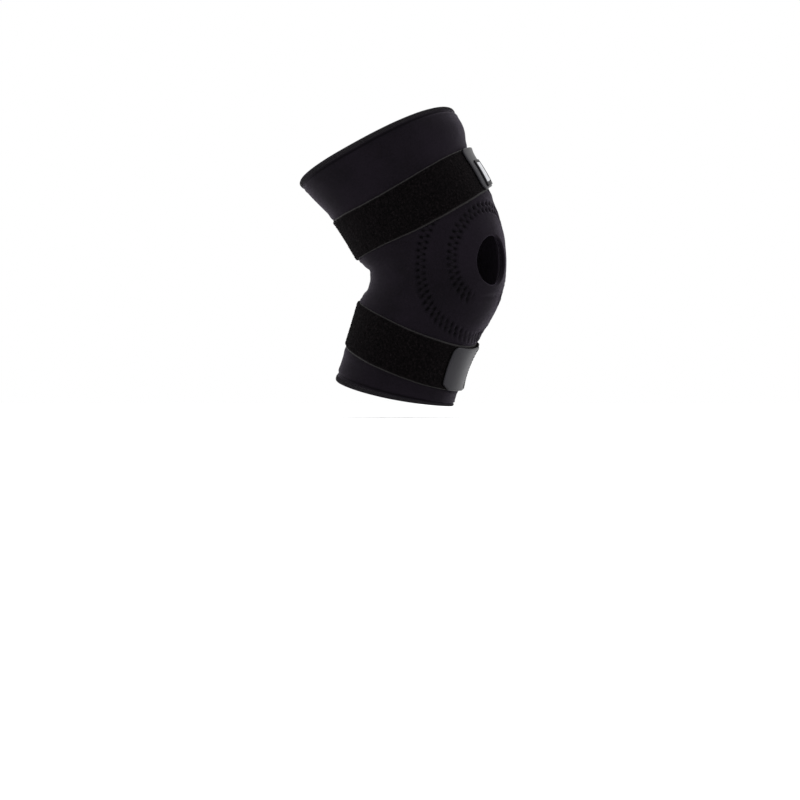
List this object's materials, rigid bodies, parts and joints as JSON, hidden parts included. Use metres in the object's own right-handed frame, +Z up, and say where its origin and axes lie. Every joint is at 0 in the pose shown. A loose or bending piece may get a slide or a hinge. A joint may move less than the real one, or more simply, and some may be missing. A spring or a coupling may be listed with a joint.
{
  "type": "knee brace",
  "caption": "Bent neoprene knee sleeve with an open kneecap, zigzag seams round it and a hook-and-loop strap with a pull tab above and below the knee.",
  "frame": {"origin": "on the knee's bending axis, in the middle of the leg from side to side", "axes": "+X to the front of the knee, +Z up the leg with the knee half bent, -Y to the outer side of a right leg; the bending axis is Y"},
  "size_m": [0.2154, 0.1568, 0.3077],
  "materials": {
    "neoprene": "black nylon-faced neoprene",
    "foam": "black foam pad",
    "thread": "black polyester thread",
    "plush": "black brushed loop plush",
    "hook": "black hook tape",
    "grey_tab": "glossy grey moulded plastic",
    "badge_black": "black moulded frame",
    "badge_metal": "bright blank metal plate"
  },
  "bodies": {
    "thigh": {"thigh_panel": "neoprene", "knee_panel": "neoprene", "front_panel": "neoprene", "patella_ring": "neoprene", "patella_buttress": "foam", "outer_zigzag_seam": "thread", "inner_zigzag_seam": "thread", "top_hem": "neoprene", "thigh_seam_tape": "neoprene", "knee_seam_tape": "neoprene", "upper_strap": "plush", "upper_anchor_stitching": "thread"},
    "calf": {"calf_panel": "neoprene", "bottom_hem": "neoprene", "calf_seam_tape": "neoprene", "lower_strap": "plush", "lower_anchor_stitching": "thread"},
    "upper_tab_end": {"upper_strap_tail": "plush", "upper_hook_tape": "hook", "upper_tab": "grey_tab", "badge_frame": "badge_black", "badge_plate": "badge_metal"},
    "lower_tab_end": {"lower_strap_tail": "plush", "lower_hook_tape": "hook", "lower_tab": "grey_tab"}
  },
  "joints": [
    {"name": "knee_flexion", "type": "hinge", "parent": "thigh", "child": "calf", "pos_m": [0, 0, 0], "axis": [0, 1, 0], "range_deg": [-40, 28], "stiffness_Nm_per_rad": 0.5, "deforming": ["knee_panel", "front_panel", "patella_ring", "patella_buttress", "outer_zigzag_seam", "inner_zigzag_seam", "knee_seam_tape"]},
    {"name": "upper_tab_peel", "type": "hinge", "parent": "thigh", "child": "upper_tab_end", "pos_m": [0.0147, 0.0545, 0.097], "axis": [-0.477, 0.071, 0.876], "range_deg": [0, 60]},
    {"name": "lower_tab_peel", "type": "hinge", "parent": "calf", "child": "lower_tab_end", "pos_m": [0.0252, 0.034, -0.0964], "axis": [0.3679, 0.014, 0.9298], "range_deg": [0, 60]}
  ]
}
